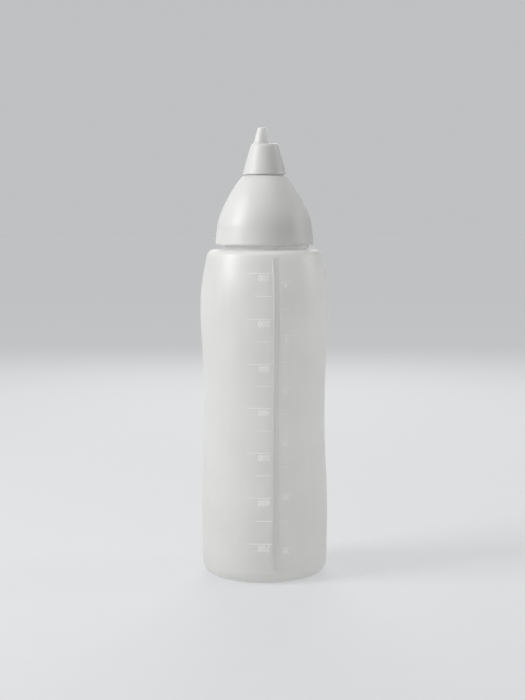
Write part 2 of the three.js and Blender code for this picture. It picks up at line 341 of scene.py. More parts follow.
# %% [markdown]
# ## Things laid on the bottle's side
#
# Graduations and mould lines are cut into the mould, so on the bottle they stand proud of the
# skin by a few tenths of a millimetre. Each is drawn flat first, with x across, y as height
# above the skin and z up, and then laid on the side: x becomes an angle, and y is added to the
# body's radius at that height. x is counted from the front, and the mould line between the two
# scales lies a little to the right of it. Angle, radius and height run the other way round than
# x, y and z, so laying a drawing down mirrors it. Its faces are turned outwards after that, from
# normals that are worked out afresh, because bmesh keeps the old ones when points are moved.

# %% Lay a flat drawing on the side
PRINT_TURN = math.radians(-90)
PRINT_RADIUS = 36.6
BAR_SUNK = 0.25
BAR_SLOPE = 0.45
STEEPEST_SHARE = 0.3
body_line = [point for point in body_outside if point.y >= BASE_CORNER]


def laid_on_side(work, turn=PRINT_TURN):
    for corner in work.verts:
        x, proud, z = corner.co / MM
        angle = turn + x / PRINT_RADIUS
        radius = radius_at(body_line, z) + proud
        corner.co = Vector((radius * math.cos(angle), radius * math.sin(angle), z)) * MM
    work.normal_update()
    bmesh.ops.recalc_face_normals(work, faces=work.faces)
    return work


def add_bar(work, x, z, width, height, proud):
    """A raised bar with sloped sides, standing in the skin by BAR_SUNK and out of it by proud."""
    box = bmesh.ops.create_cube(work, size=1)["verts"]
    bmesh.ops.scale(work, verts=box, vec=(width * MM, (proud + BAR_SUNK) * MM, height * MM))
    middle = Vector((x, (proud - BAR_SUNK) / 2, z)) * MM
    bmesh.ops.translate(work, verts=box, vec=middle)
    for corner in box:
        if corner.co.y > middle.y:
            for axis, size in ((0, width), (2, height)):
                side_of = 1 if corner.co[axis] > middle[axis] else -1
                slope = min(BAR_SLOPE * proud, size * STEEPEST_SHARE)
                corner.co[axis] -= side_of * slope * MM


# %% [markdown]
# ## The mould lines
#
# A blowing mould opens in two halves, and where they meet the plastic keeps a fine raised seam:
# down the front of this bottle, down its back, and across the base, where the tube was pinched
# off. A seam is a strip with a rounded top. Its section is extruded step by step up the side,
# and its height fades out towards the foot and falls off at the top. Each step of an extrusion
# leaves the old end face inside the strip. It is deleted, so that the mesh stays one closed skin.

# %% Extrude a rod step by step
def extrude_end(work, face, is_first):
    """Extrudes the end face of a rod. The face left behind stays only at the rod's first end."""
    grown = bmesh.ops.extrude_face_region(work, geom=[face])["geom"]
    if not is_first:
        bmesh.ops.delete(work, geom=[face], context="FACES_ONLY")
    return next(item for item in grown if isinstance(item, bmesh.types.BMFace))


# %% A seam up the side
SEAM_X = 5.55
FRONT_STRIPS = [(5.5, 1.8, 0.42), (7.75, 0.8, 0.14)]
BACK_STRIPS = [(SEAM_X, 1.4, 0.2)]
SEAM_LOW = 9.0
SEAM_HIGH = 186.2
SEAM_SUNK = 0.3
SEAM_STEPS = 70
CREST_STEPS = 6
FADE_LENGTH = 110
TOP_LENGTH = 1.2
TOP_SHARE = 0.15


def add_strip(work, x, width, proud):
    """Adds a strip. Strips laid before it fade once more, so the first of two is the softer."""
    across = [step / CREST_STEPS - 0.5 for step in range(CREST_STEPS + 1)]
    outline = [(x + share * width, proud * math.cos(share * math.pi)) for share in across]
    outline += [(x + width / 2, -SEAM_SUNK), (x - width / 2, -SEAM_SUNK)]
    ring = [work.verts.new((px * MM, py * MM, SEAM_LOW * MM)) for px, py in outline]
    face = work.faces.new(ring)
    rise = Vector((0, 0, (SEAM_HIGH - SEAM_LOW) / SEAM_STEPS)) * MM
    for step in range(SEAM_STEPS):
        face = extrude_end(work, face, is_first=step == 0)
        bmesh.ops.translate(work, verts=face.verts, vec=rise)
    for corner in work.verts:
        height = corner.co.z / MM
        if corner.co.y > 0 and SEAM_LOW <= height <= SEAM_HIGH:
            faded = eased((height - SEAM_LOW) / FADE_LENGTH)
            corner.co.y *= faded * eased((SEAM_HIGH - height) / TOP_LENGTH + TOP_SHARE)


def seam_piece(name, strips, turn):
    work = bmesh.new()
    for x, width, proud in strips:
        add_strip(work, x, width, proud)
    return finished(name, laid_on_side(work, turn))


front_seam = seam_piece("front_mould_seam", FRONT_STRIPS, PRINT_TURN)
back_seam = seam_piece("back_mould_seam", BACK_STRIPS, PRINT_TURN + math.pi)

# %% [markdown]
# The pinch-off seam lies in the hollow of the base, in the same plane as the two side seams. It
# is a flat ribbon first, a long grid, which is bent to the hollow and then given its thickness.

# %% The seam across the base
PINCH_LENGTH = 44
PINCH_WIDTH = 1.3
PINCH_PROUD = 0.35
PINCH_SUNK = 0.3
PINCH_LIFT = 0.02
PINCH_END_SHARE = 0.08


def hollow_height(radius):
    for inner, outer in zip(hollow, hollow[1:]):
        if inner.x <= radius <= outer.x:
            share = (radius - inner.x) / (outer.x - inner.x)
            return inner.y + (outer.y - inner.y) * share
    return 0.0


def make_pinch_seam():
    work = bmesh.new()
    bmesh.ops.create_grid(work, x_segments=44, y_segments=4, size=0.5)
    for corner in work.verts:
        along, across = corner.co.x * PINCH_LENGTH, corner.co.y * PINCH_WIDTH
        ends = eased((0.5 - abs(corner.co.x)) / PINCH_END_SHARE)
        crest = PINCH_PROUD * math.cos(corner.co.y * math.pi) * ends
        base_height = hollow_height(math.hypot(along, across))
        corner.co = Vector((along, across, base_height - crest + PINCH_LIFT)) * MM
    bmesh.ops.reverse_faces(work, faces=work.faces)
    bmesh.ops.solidify(work, geom=work.faces, thickness=-PINCH_SUNK * MM)
    bmesh.ops.recalc_face_normals(work, faces=work.faces)
    turn_about_axis(work, PRINT_TURN + SEAM_X / PRINT_RADIUS)
    return finished("base_pinch_seam", work)


base_seam = make_pinch_seam()

# %% [markdown]
# ## The graduations
#
# The bottle is held nozzle down, so its scale counts from the neck to the foot and its numbers
# stand on their heads. On the left of the seam a line marks every 100 ml and a shorter one every
# 50 ml. On the right of it a fainter scale has a longer line and a number at every fourth fluid
# ounce and a short line in between. The heights of the 100 ml lines were measured, and the
# ounces follow from them.

# %% Graduation lines
HUNDREDS = [177.7, 152.0, 126.5, 101.4, 75.8, 50.2, 23.7]
ML_PROUD = 0.13
HUNDRED_BAR = {"x": -2.9, "width": 14.4, "height": 0.34, "proud": ML_PROUD}
FIFTY_BAR = {"x": -0.2, "width": 8.8, "height": 0.34, "proud": ML_PROUD}
OUNCE_ML = 29.57
OUNCE_PROUD = 0.09
OUNCE_LEFT = 9.2
OUNCE_LONG = 7.0
OUNCE_SHORT = 4.4
OUNCE_LINE_HEIGHT = 0.3
LONG_EDGE = 2
ounces = range(4, 26, 2)


def height_of_ml(amount):
    """The height of an amount on the scale, between or just beyond the measured lines."""
    index = min(max(int(amount // 100) - 1, 0), len(HUNDREDS) - 2)
    share = amount / 100 - 1 - index
    return HUNDREDS[index] + (HUNDREDS[index + 1] - HUNDREDS[index]) * share


lines = bmesh.new()
for height in HUNDREDS:
    add_bar(lines, z=height, **HUNDRED_BAR)
for amount in range(150, 701, 100):
    add_bar(lines, z=height_of_ml(amount), **FIFTY_BAR)
for ounce in ounces:
    width = OUNCE_LONG if ounce % 4 == 0 else OUNCE_SHORT
    add_bar(
        lines, x=OUNCE_LEFT + width / 2, z=height_of_ml(ounce * OUNCE_ML),
        width=width, height=OUNCE_LINE_HEIGHT, proud=OUNCE_PROUD,
    )
long_edges = [edge for edge in lines.edges if edge.calc_length() > LONG_EDGE * MM]
bmesh.ops.subdivide_edges(lines, edges=long_edges, cuts=7, use_grid_fill=True)
graduation_lines = finished("graduation_lines", laid_on_side(lines))

# %% [markdown]
# The numbers are text objects. A text becomes a mesh before it is turned on its head and put in
# its place, and a small bevel gives the strokes the sloped sides that come out of a mould.

# %% Graduation numbers
NUMBER_SUNK = 0.2
STROKE_BEVEL = 0.05
STROKE_GROWTH = 0.03
HUNDRED_DROP = 2.5
OUNCE_DROP = 2.1


def evaluated_mesh(thing):
    """The mesh of an object, as its text or its modifiers make it."""
    bpy.context.view_layer.update()
    done = thing.evaluated_get(bpy.context.evaluated_depsgraph_get())
    return bpy.data.meshes.new_from_object(done)


def flat_number(text, size, proud):
    """A number as a mesh: x across, y out of the skin, z up, with its middle at the origin."""
    curve = bpy.data.curves.new("number", "FONT")
    curve.body, curve.size = text, size * MM
    curve.align_x, curve.align_y = "CENTER", "CENTER"
    curve.extrude = ((proud + NUMBER_SUNK) / 2 - STROKE_BEVEL) * MM
    curve.bevel_depth, curve.bevel_resolution = STROKE_BEVEL * MM, 0
    curve.resolution_u = 4
    curve.offset = STROKE_GROWTH * MM
    letters = add_object("number", curve)
    drawn = evaluated_mesh(letters)
    bpy.data.objects.remove(letters)
    drawn.transform(Matrix.Rotation(math.radians(90), 4, "X"))
    drawn.transform(Matrix.Translation((0, -(proud - NUMBER_SUNK) / 2 * MM, 0)))
    # x and z turn the number on its head, and y makes it face out of the skin.
    drawn.transform(Matrix.Diagonal((-1, -1, -1, 1)))
    return drawn


def add_number(work, text, x, z, size, proud):
    drawn = flat_number(text, size, proud)
    drawn.transform(Matrix.Translation(Vector((x, 0, z)) * MM))
    work.from_mesh(drawn)
    bpy.data.meshes.remove(drawn)


numbers = bmesh.new()
for hundred, height in enumerate(HUNDREDS, start=1):
    add_number(
        numbers, str(hundred * 100), x=-0.35, z=height - HUNDRED_DROP, size=4.6, proud=ML_PROUD
    )
for ounce in ounces:
    if ounce % 4 == 0:
        height = height_of_ml(ounce * OUNCE_ML) - OUNCE_DROP
        add_number(numbers, str(ounce), x=12.4, z=height, size=3.4, proud=OUNCE_PROUD)
bmesh.ops.remove_doubles(numbers, verts=numbers.verts, dist=WELD * MM)
graduation_numbers = finished("graduation_numbers", laid_on_side(numbers))

# %% [markdown]
# ## The lid
#
# The lid is moulded in one: a thin dome, a rim that screws over the neck, a shelf inside that
# presses on the seal, a flat deck, and on the deck a low collar for the valve. Its outside was
# measured like the bottle's. The inside is the same line moved inwards by the wall, with a row of
# points every 0.3 mm where the thread will be.

# %% Outside of the lid
LID_RIM = 193.0
LID_RADIUS = 28.55
LID_ROUNDING = 1.0
LID_WALL = 1.3
DECK_HEIGHT = 232.8
DECK_RADIUS = 12.6
DECK_FLAT = 11.9
DECK_BEND = (14.1, 231.0)
DOME = [
    (28.4, 195.6), (27.94, 200.1), (27.36, 204.7), (26.2, 209.3), (24.36, 214.0),
    (22.1, 218.6), (19.57, 223.2), (16.53, 227.9),
]

lid_rim = part_circle(
    at(LID_RADIUS - LID_ROUNDING, LID_RIM + LID_ROUNDING), LID_ROUNDING, -90, 0, steps=6
)
deck_edge = bend(
    at(*DECK_BEND), at(DECK_RADIUS, DECK_HEIGHT), at(DECK_FLAT, DECK_HEIGHT), steps=8
)
dome = smooth_line([lid_rim[-1], *DOME, deck_edge[0]], steps=6)
lid_outside = [*lid_rim, *dome[1:-1], *deck_edge]

# %% [markdown]
# The collar has a lip at its top that the valve's flange rests under, and a groove in its bore
# that the retaining ring snaps into.

# %% Section of the lid
COLLAR_RADIUS = 11.05
COLLAR_TOP = 237.8
COLLAR_TOP_RADIUS = 10.1
COLLAR_ROUNDING = 0.5
COLLAR_FOOT = 0.3
LIP_RADIUS = 6.8
LIP_UNDER = 236.7
LIP_ROUNDING = 0.4
COLLAR_BORE = 8.8
RING_MIDDLE = 234.1
SNAP_DEPTH = 0.4
SHELF_HEIGHT = 207.5
SHELF_EDGE = 1.0
SHELF_RADIUS = 22.3
SHELF_SLOPE_TOP = 214.1
DOME_CLEARANCE = 0.2
SKIRT_EASE = 0.25

collar_turn = part_circle(
    at(COLLAR_TOP_RADIUS - COLLAR_ROUNDING, COLLAR_TOP - COLLAR_ROUNDING),
    COLLAR_ROUNDING, 0, 90, steps=5,
)
lip_turn = part_circle(
    at(LIP_RADIUS + LIP_ROUNDING, COLLAR_TOP - LIP_ROUNDING), LIP_ROUNDING, 90, 180, steps=4
)
spout = [
    at(COLLAR_RADIUS + COLLAR_FOOT, DECK_HEIGHT),
    at(COLLAR_RADIUS, DECK_HEIGHT + COLLAR_FOOT),
    *collar_turn,
    *lip_turn,
    at(LIP_RADIUS, LIP_UNDER),
    at(COLLAR_BORE, LIP_UNDER),
    at(COLLAR_BORE, RING_MIDDLE + SNAP_DEPTH),
    at(COLLAR_BORE + SNAP_DEPTH, RING_MIDDLE),
    at(COLLAR_BORE, RING_MIDDLE - SNAP_DEPTH),
    at(COLLAR_BORE, DECK_HEIGHT - LID_WALL),
]
lid_inside = inner_line(lid_outside, LID_WALL)
dome_top = DECK_HEIGHT - LID_WALL - DOME_CLEARANCE
above_shelf = [point for point in lid_inside if SHELF_SLOPE_TOP < point.y < dome_top]
above_shelf.reverse()
skirt_rows = round((SHELF_HEIGHT - LID_RIM - LID_ROUNDING) / THREAD_ROW)
skirt_inside = [
    at(radius_at(lid_inside, point.y), point.y)
    for point in straight(at(0, SHELF_HEIGHT), at(0, LID_RIM + LID_ROUNDING), skirt_rows)
]
lid_section = [
    *lid_outside,
    *spout,
    at(DECK_FLAT, DECK_HEIGHT - LID_WALL),
    *above_shelf,
    at(radius_at(lid_inside, SHELF_SLOPE_TOP), SHELF_SLOPE_TOP),
    at(SHELF_RADIUS, SHELF_HEIGHT + SHELF_EDGE),
    at(SHELF_RADIUS, SHELF_HEIGHT),
    *skirt_inside,
    at(skirt_inside[-1].x, LID_RIM + SKIRT_EASE),
    at(skirt_inside[-1].x + SKIRT_EASE, LID_RIM),
]
lid_mesh = turned(lid_section, WIDE_SEGMENTS)
print("points moved for the lid's thread:", raise_thread(
    lid_mesh,
    skin=skirt_inside[:0:-1],
    depth=-1.45,
    start_height=THREAD_START_HEIGHT + THREAD_PITCH * 1.5,
    turns=1.6,
    flat=0.35,
    foot=1.25,
))

# %% [markdown]
# ## The hinge
#
# The cap hangs on the lid by a hinge moulded with both of them. Each side has a small leaf, and
# a film of plastic joins their ends. When the cap is shut the leaves lie face to face. A leaf is
# drawn as a flat plate: one face with four corners, extruded and bevelled.

# %% Make a leaf
HINGE_TURN = math.radians(56)
HINGE_RADIUS = 14.4
HINGE_HEIGHT = 233.2
LEAF_ROOT_WIDTH = 8.4
LEAF_TIP_WIDTH = 7.0
LEAF_THICKNESS = 1.1
LEAF_ROUNDING = 0.18
LEAF_GAP = 0.3
LID_LEAF_ROOT = 11.8
CAP_LEAF_ROOT = 11.75


def make_leaf(root_radius, underside):
    tip_radius = HINGE_RADIUS - LEAF_GAP / 2
    work = bmesh.new()
    plan = [
        (root_radius, -LEAF_ROOT_WIDTH / 2), (tip_radius, -LEAF_TIP_WIDTH / 2),
        (tip_radius, LEAF_TIP_WIDTH / 2), (root_radius, LEAF_ROOT_WIDTH / 2),
    ]
    plate = work.faces.new([work.verts.new(Vector((x, y, underside)) * MM) for x, y in plan])
    grown = bmesh.ops.extrude_face_region(work, geom=[plate])["geom"]
    top = [item for item in grown if isinstance(item, bmesh.types.BMVert)]
    bmesh.ops.translate(work, verts=top, vec=Vector((0, 0, LEAF_THICKNESS)) * MM)
    bmesh.ops.bevel(
        work, geom=work.edges[:], offset=LEAF_ROUNDING * MM, segments=3,
        affect="EDGES", profile=0.5, material=-1,
    )
    turn_about_axis(work, HINGE_TURN)
    bmesh.ops.recalc_face_normals(work, faces=work.faces)
    return finished("leaf", work)


lid_leaf = make_leaf(LID_LEAF_ROOT, HINGE_HEIGHT - LEAF_GAP / 2 - LEAF_THICKNESS)

# %% [markdown]
# The leaf and the lid are one moulding, so a boolean makes one skin of the two. Points that it
# leaves very close together are welded. The same helper cuts a tool out of a piece.

# %% Join the leaf to the lid
WELD_AFTER_CUT = 0.0005


def combine(body, tool, operation):
    """Joins the tool to the body, or cuts it out, and removes the tool."""
    name = body.name
    step = body.modifiers.new("combine", "BOOLEAN")
    step.operation, step.object, step.solver = operation, tool, "EXACT"
    work = bmesh.new()
    work.from_mesh(evaluated_mesh(body))
    bmesh.ops.remove_doubles(work, verts=work.verts, dist=WELD_AFTER_CUT * MM)
    for old in (tool, body):
        bpy.data.objects.remove(old)
    return finished(name, work)


lid = combine(finished("lid_shell", lid_mesh), lid_leaf, "UNION")

# %% [markdown]
# The film is a thin strip bent round the folding line. Its lower leg lies at the lid's leaf and
# its upper leg at the cap's.

# %% The film of the hinge
FILM_THICKNESS = 0.3
FILM_LEG = [(-0.55, -0.68), (-0.2, -0.66), (0.0, -0.58)]
FILM_CENTRE = -0.04
FILM_BULGE = 0.42
FILM_SWEEP = 72
FILM_INSET = 0.2


def make_film():
    lower = [at(*point) for point in FILM_LEG]
    upper = [at(point.x, -point.y) for point in reversed(lower)]
    round_part = part_circle(at(FILM_CENTRE, 0), FILM_BULGE, -FILM_SWEEP, FILM_SWEEP, steps=10)
    middle = smooth_line([*lower, *round_part[::2], *upper], steps=3)
    near_side = -LEAF_TIP_WIDTH / 2 + FILM_INSET
    film_width = LEAF_TIP_WIDTH - 2 * FILM_INSET
    work = bmesh.new()
    rows = [
        work.verts.new(Vector((HINGE_RADIUS + p.x, near_side, HINGE_HEIGHT + p.y)) * MM)
        for p in middle
    ]
    edges = [work.edges.new(pair) for pair in zip(rows, rows[1:])]
    grown = bmesh.ops.extrude_edge_only(work, edges=edges)["geom"]
    far = [item for item in grown if isinstance(item, bmesh.types.BMVert)]
    bmesh.ops.translate(work, verts=far, vec=Vector((0, film_width, 0)) * MM)
    across = [edge for edge in work.edges if abs(edge.verts[0].co.y - edge.verts[1].co.y) > MM]
    bmesh.ops.subdivide_edges(work, edges=across, cuts=8, use_grid_fill=True)
    bmesh.ops.solidify(work, geom=work.faces, thickness=FILM_THICKNESS * MM)
    bmesh.ops.recalc_face_normals(work, faces=work.faces)
    turn_about_axis(work, HINGE_TURN)
    return finished("hinge_film", work)


hinge_film = make_film()

# %% [markdown]
# ## Seal, valve and retaining ring
#
# Three small turned pieces close the bottle: a soft ring on the neck's rim, a silicone valve whose
# dished head opens when the bottle is squeezed, and a hard ring that snaps in below the valve.

# %% Seal ring and retaining ring
SEAL_SEGMENTS = 120
SPOUT_SEGMENTS = 96
SEAL_SECTION = [
    (22.6, 206.45), (22.85, 206.2), (24.9, 206.2), (25.15, 206.45),
    (25.15, 207.05), (24.9, 207.3), (22.85, 207.3), (22.6, 207.05),
]
RING_SECTION = [
    (6.9, 233.5), (7.2, 233.2), (8.2, 233.2), (8.6, 233.7), (9.0, 234.1),
    (8.6, 234.5), (8.6, 234.8), (8.4, 235.0), (7.1, 235.0), (6.9, 234.8),
]
seal = finished("seal_ring", turned(SEAL_SECTION, SEAL_SEGMENTS))
retainer = finished("retaining_ring", turned(RING_SECTION, SPOUT_SEGMENTS))

# %% [markdown]
# The valve's head is the part that works. Seen from above it is a shallow dish with two crossed
# slits. The slits are cut with two thin blades.

# %% The slit valve
VALVE_SLEEVE = 6.2
VALVE_WALL = 0.8
HEAD_EDGE = 233.9
HEAD_DISH = 1.1
HEAD_THICKNESS = 0.8
HEAD_FLAT = 0.6
SLEEVE_EASE = 0.15
FLANGE_TOP = 236.5
FLANGE_UNDER = 235.2
FLANGE_RADIUS = 8.6
FLANGE_EASE = 0.2
MOUTH_EASE = 0.3
SLIT_LENGTH = 7.0
SLIT_WIDTH = 0.16
BLADE_HEIGHT = 4

head_radius = VALVE_SLEEVE - VALVE_WALL
head_floor = HEAD_EDGE - HEAD_DISH
head_under = bend(
    at(0, head_floor - HEAD_THICKNESS),
    at(head_radius * HEAD_FLAT, head_floor - HEAD_THICKNESS),
    at(head_radius, HEAD_EDGE - HEAD_THICKNESS),
    steps=9,
)
head_top = bend(
    at(head_radius - VALVE_WALL / 2, HEAD_EDGE),
    at(head_radius * HEAD_FLAT, head_floor),
    at(0, head_floor),
    steps=9,
)
valve_mesh = turned([
    *head_under,
    at(VALVE_SLEEVE - SLEEVE_EASE, HEAD_EDGE - HEAD_THICKNESS * 0.75),
    at(VALVE_SLEEVE, HEAD_EDGE - HEAD_THICKNESS / 2),
    at(VALVE_SLEEVE, FLANGE_UNDER),
    at(FLANGE_RADIUS - FLANGE_EASE, FLANGE_UNDER),
    at(FLANGE_RADIUS, FLANGE_UNDER + FLANGE_EASE),
    at(FLANGE_RADIUS, FLANGE_TOP - FLANGE_EASE),
    at(FLANGE_RADIUS - FLANGE_EASE, FLANGE_TOP),
    at(head_radius + MOUTH_EASE, FLANGE_TOP),
    at(head_radius, FLANGE_TOP - MOUTH_EASE),
    *head_top,
], SPOUT_SEGMENTS)
valve = finished("slit_valve", valve_mesh)
for quarter in range(2):
    blade = bmesh.new()
    box = bmesh.ops.create_cube(blade, size=1)["verts"]
    bmesh.ops.scale(blade, verts=box, vec=Vector((SLIT_LENGTH, SLIT_WIDTH, BLADE_HEIGHT)) * MM)
    turn_about_axis(blade, HINGE_TURN + quarter * math.pi / 2)
    bmesh.ops.translate(blade, verts=box, vec=Vector((0, 0, head_floor)) * MM)
    valve = combine(valve, finished("blade", blade), "DIFFERENCE")

# %% [markdown]
# ## The cap
#
# The cap is a hollow cone with a rounded top. A hollow post inside it reaches down into the valve
# and holds its lips shut while the cap is closed. The section again runs once round the wall.

# %% Section of the cap
CAP_RIM = 233.6
CAP_TOP = 251.3
CAP_WALL = 1.15
CAP_CEILING = 250.15
CAP_SEGMENTS = 128
EDGE_CORNER = 7.85
EDGE_END = 6.2
CEILING_CORNER = 7.2
CEILING_END = 6.3
CORNER_DEPTH = 1.0
CONE = [
    (12.55, 234.1), (11.86, 236.6), (10.99, 240.0), (10.04, 243.4), (8.99, 246.9), (8.36, 249.1),
]
POST = [
    (3.1, CAP_CEILING), (2.7, 234.4), (2.9, 234.2), (3.4, 234.2), (3.6, 234.4),
    (4.0, CAP_CEILING - 0.3), (4.3, CAP_CEILING),
]

cone = smooth_line(CONE, steps=5)
cap_edge = bend(cone[-1], at(EDGE_CORNER, CAP_TOP), at(EDGE_END, CAP_TOP), steps=9)
cone_inside = inner_line(cone, CAP_WALL)
cone_inside.reverse()
inside_line = [point for point in cone_inside if point.y < CAP_CEILING - CORNER_DEPTH]
inside_corner = bend(
    at(CEILING_END, CAP_CEILING), at(CEILING_CORNER, CAP_CEILING), inside_line[0], steps=5
)
rim_bore = cone_inside[-1].x
cap_section = [
    at(0, CAP_CEILING),
    *POST,
    *inside_corner,
    *inside_line[1:],
    at(rim_bore + 0.05, CAP_RIM + 0.15), at(rim_bore + 0.25, CAP_RIM),
    at(12.35, CAP_RIM), at(12.55, CAP_RIM + 0.2),
    *cone,
    *cap_edge[1:],
    at(3, CAP_TOP),
    at(0, CAP_TOP),
]
cap_shell = finished("cap_shell", turned(cap_section, CAP_SEGMENTS))

# %% [markdown]
# ## The lifting tab
#
# The tab stands on the side away from the hinge and carries on the slope of the cone, so a thumb
# can push it up. It is a stack of circles that shrink and lean: one circle is drawn, and then
# its face is extruded, scaled and moved again and again. The table gives the height, the offset
# from the axis and the radius of each circle, as shares of the tab's own.

# %% The tab
TAB_HEIGHT = 9.1
TAB_OFFSET = 3.6
TAB_RADIUS = 4.0
TAB_SEGMENTS = 64
TAB_RINGS = [
    (-0.1, 0.74, 1.24), (0.02, 0.76, 1.21), (0.077, 0.9, 1.09), (0.143, 0.99, 1.0),
    (0.33, 0.99, 0.885), (0.516, 0.96, 0.8), (0.714, 0.88, 0.725), (0.9, 0.77, 0.64),
    (0.955, 0.75, 0.6), (0.985, 0.735, 0.53), (1.0, 0.73, 0.42),
]


def make_tab():
    rings = [
        (Vector((-TAB_OFFSET * offset, 0, CAP_TOP + TAB_HEIGHT * height)) * MM, TAB_RADIUS * width)
        for height, offset, width in smooth_line(TAB_RINGS, steps=3)
    ]
    work = bmesh.new()
    bmesh.ops.create_circle(
        work, cap_ends=True, segments=TAB_SEGMENTS, radius=rings[0][1] * MM,
        matrix=Matrix.Translation(rings[0][0]),
    )
    face = work.faces[:][0]
    for step, ((was, was_radius), (now, radius)) in enumerate(zip(rings, rings[1:])):
        face = extrude_end(work, face, is_first=step == 0)
        share = radius / was_radius
        bmesh.ops.scale(
            work, verts=face.verts, vec=(share, share, 1), space=Matrix.Translation(-was)
        )
        bmesh.ops.translate(work, verts=face.verts, vec=now - was)
    turn_about_axis(work, HINGE_TURN)
    bmesh.ops.recalc_face_normals(work, faces=work.faces)
    return finished("tab", work)


cap = combine(cap_shell, make_tab(), "UNION")
cap = combine(cap, make_leaf(CAP_LEAF_ROOT, HINGE_HEIGHT + LEAF_GAP / 2), "UNION")
cap.name = cap.data.name = "tip_cap_shell"
lid.name = lid.data.name = "dome_lid_shell"

# %% [markdown]
# ## Plastics
#
# Bottle, lid and cap are soft polyethylene in its natural state: milky, satin, neither clear nor
# white. What makes it look so is light that goes through the wall. So each plastic is a
# Principled shader, which reflects, mixed with a Translucent one, which lets through light from
# behind. What changes over the surface comes from three node groups that all the materials
# share: the tone of the milky wall, the fine skin left by the mould, and the dulling by hands
# and shelves.
#
# Three helpers keep the recipes short: one starts a group, one adds a node of any kind, and one
# adds a Math node and hands back its result.

# %% Helpers for nodes
def new_group(name, inputs, outputs):
    tree = bpy.data.node_groups.new(name, "ShaderNodeTree")
    for label, kind, value in inputs:
        tree.interface.new_socket(label, in_out="INPUT", socket_type=kind).default_value = value
    for label, kind in outputs:
        tree.interface.new_socket(label, in_out="OUTPUT", socket_type=kind)
    return tree, tree.nodes.new("NodeGroupInput"), tree.nodes.new("NodeGroupOutput")


def put(tree, kind, settings=(), **values):
    """Adds a node. settings are its own properties, values go to its inputs or are linked."""
    node = tree.nodes.new(kind)
    for name, value in dict(settings).items():
        setattr(node, name, value)
    for name, value in values.items():
        is_number = name[0] == "_"
        socket = node.inputs[int(name[1:]) if is_number else name.replace("_", " ")]
        if isinstance(value, bpy.types.NodeSocket):
            tree.links.new(value, socket)
        else:
            socket.default_value = value
    return node


def calculate(tree, operation, *values, clamp=False):
    settings = {"operation": operation, "use_clamp": clamp}
    inputs = {f"_{index}": value for index, value in enumerate(values)}
    return put(tree, "ShaderNodeMath", settings, **inputs).outputs[0]


# %% [markdown]
# Milky tone: a blown wall is never quite even. It is a little thicker here and thinner there,
# in soft clouds and in long upright streaks where the tube was drawn, and the tone follows.

# %% Node group: milky tone
tone_tree, tone_in, tone_out = new_group(
    "milky tone",
    [
        ("Color", "NodeSocketColor", (0.8, 0.8, 0.8, 1)),
        ("Clouds", "NodeSocketFloat", 0.04),
        ("Streaks", "NodeSocketFloat", 0.02),
    ],
    [("Color", "NodeSocketColor")],
)
place = put(tone_tree, "ShaderNodeTexCoord").outputs["Object"]
clouds = put(tone_tree, "ShaderNodeTexNoise", Vector=place, Scale=38.0, Detail=2.0)
long_place = put(tone_tree, "ShaderNodeMapping", Vector=place, Scale=(1, 1, 0.04))
streaks = put(
    tone_tree, "ShaderNodeTexNoise", Vector=long_place.outputs[0], Scale=260.0, Detail=2.0
)


def around_one(tree, value, amount):
    """1 plus amount times the noise's distance from its middle."""
    centred = calculate(tree, "SUBTRACT", value, 0.5)
    return calculate(tree, "ADD", calculate(tree, "MULTIPLY", centred, amount), 1.0)


both = calculate(
    tone_tree, "MULTIPLY",
    around_one(tone_tree, clouds.outputs["Fac"], tone_in.outputs["Clouds"]),
    around_one(tone_tree, streaks.outputs["Fac"], tone_in.outputs["Streaks"]),
)
toned = put(
    tone_tree, "ShaderNodeVectorMath", {"operation": "SCALE"},
    _0=tone_in.outputs["Color"], Scale=both,
)
tone_tree.links.new(toned.outputs[0], tone_out.inputs["Color"])
print("node group:", tone_tree.name)

# %% [markdown]
# Moulded skin: a mould for this plastic is blasted to a satin, so the skin has a fine grain. On
# top of it lie soft waves, a millimetre or more apart, where the plastic shrank unevenly.

# %% Node group: moulded skin
skin_tree, skin_in, skin_out = new_group(
    "moulded skin",
    [
        ("Grain", "NodeSocketFloat", 0.3),
        ("Waves", "NodeSocketFloat", 0.2),
        ("Wave Size", "NodeSocketFloat", 180.0),
    ],
    [("Normal", "NodeSocketVector")],
)
place = put(skin_tree, "ShaderNodeTexCoord").outputs["Object"]
grain = put(skin_tree, "ShaderNodeTexNoise", Vector=place, Scale=2600.0, Detail=3.0)
waves = put(
    skin_tree, "ShaderNodeTexNoise", Vector=place, Scale=skin_in.outputs["Wave Size"], Detail=1.0
)
wavy = put(
    skin_tree, "ShaderNodeBump",
    Strength=skin_in.outputs["Waves"], Distance=0.4 * MM, Height=waves.outputs["Fac"],
)
grained = put(
    skin_tree, "ShaderNodeBump",
    Strength=skin_in.outputs["Grain"], Distance=0.04 * MM, Height=grain.outputs["Fac"],
    Normal=wavy.outputs["Normal"],
)
skin_tree.links.new(grained.outputs["Normal"], skin_out.inputs["Normal"])
print("node group:", skin_tree.name)

# %% [markdown]
# Handling: fingers leave some places smoother and others duller, a few fine scuffs run across,
# and the ring that the bottle stands on is rubbed dull. The group gives the roughness itself.

